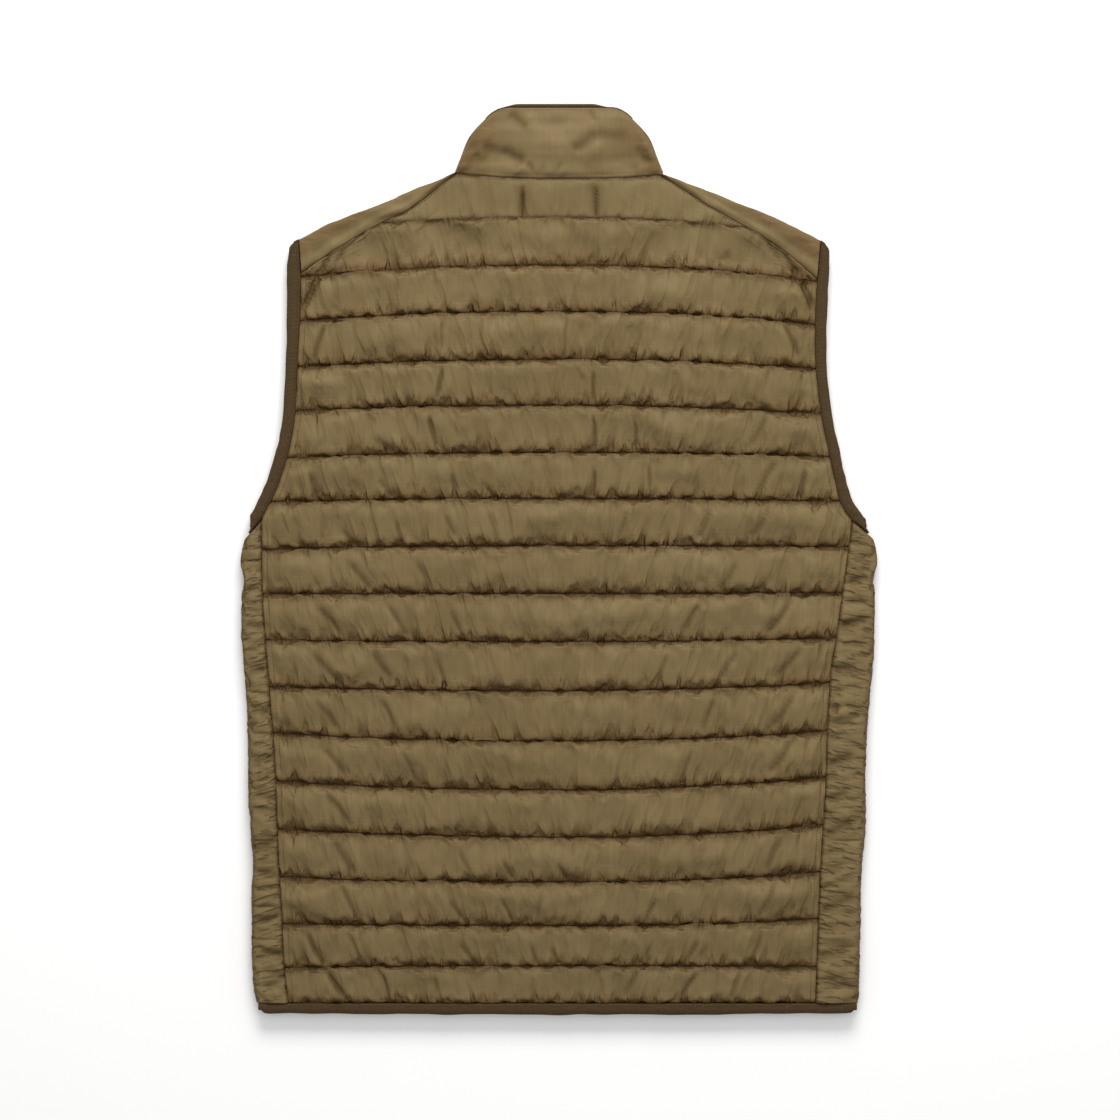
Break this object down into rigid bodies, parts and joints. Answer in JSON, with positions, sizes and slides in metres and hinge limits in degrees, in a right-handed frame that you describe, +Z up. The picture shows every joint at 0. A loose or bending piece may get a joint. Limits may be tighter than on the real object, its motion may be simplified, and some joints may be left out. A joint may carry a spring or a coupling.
{
  "type": "puffer vest, laid flat on its front",
  "caption": "Quilted sleeveless padded jacket with a stand collar, zipped up and laid flat with its back upwards.",
  "frame": {"origin": "on the surface that the vest lies on, under the middle of its outline", "axes": "+Y from the hem to the collar, +Z up out of the back panel, +X to the wearer's right"},
  "size_m": [0.5406, 0.7744, 0.021],
  "materials": {
    "shell_cloth": "woven nylon with a soft sheen",
    "elastic": "ribbed elastic binding",
    "zip_tape": "woven tape",
    "zip_plastic": "moulded coil and box",
    "zip_metal": "dark antique plating"
  },
  "bodies": {
    "vest": {"back_panel": "shell_cloth", "shoulder_left": "shell_cloth", "shoulder_right": "shell_cloth", "side_left": "shell_cloth", "side_right": "shell_cloth", "front_left": "shell_cloth", "front_right": "shell_cloth", "collar": "shell_cloth", "binding_armhole_left": "elastic", "binding_armhole_right": "elastic", "binding_collar": "elastic", "binding_hem": "elastic", "zip_tape_left": "zip_tape", "zip_tape_right": "zip_tape", "zip_chain": "zip_plastic", "zip_box": "zip_plastic", "zip_slider": "zip_metal"},
    "pull": {"zip_pull": "zip_metal"}
  },
  "joints": [
    {"name": "pull_swing", "type": "hinge", "parent": "vest", "child": "pull", "pos_m": [0, 0.3185, 0.0023], "axis": [1, 0, 0], "range_deg": [0, 170]}
  ]
}
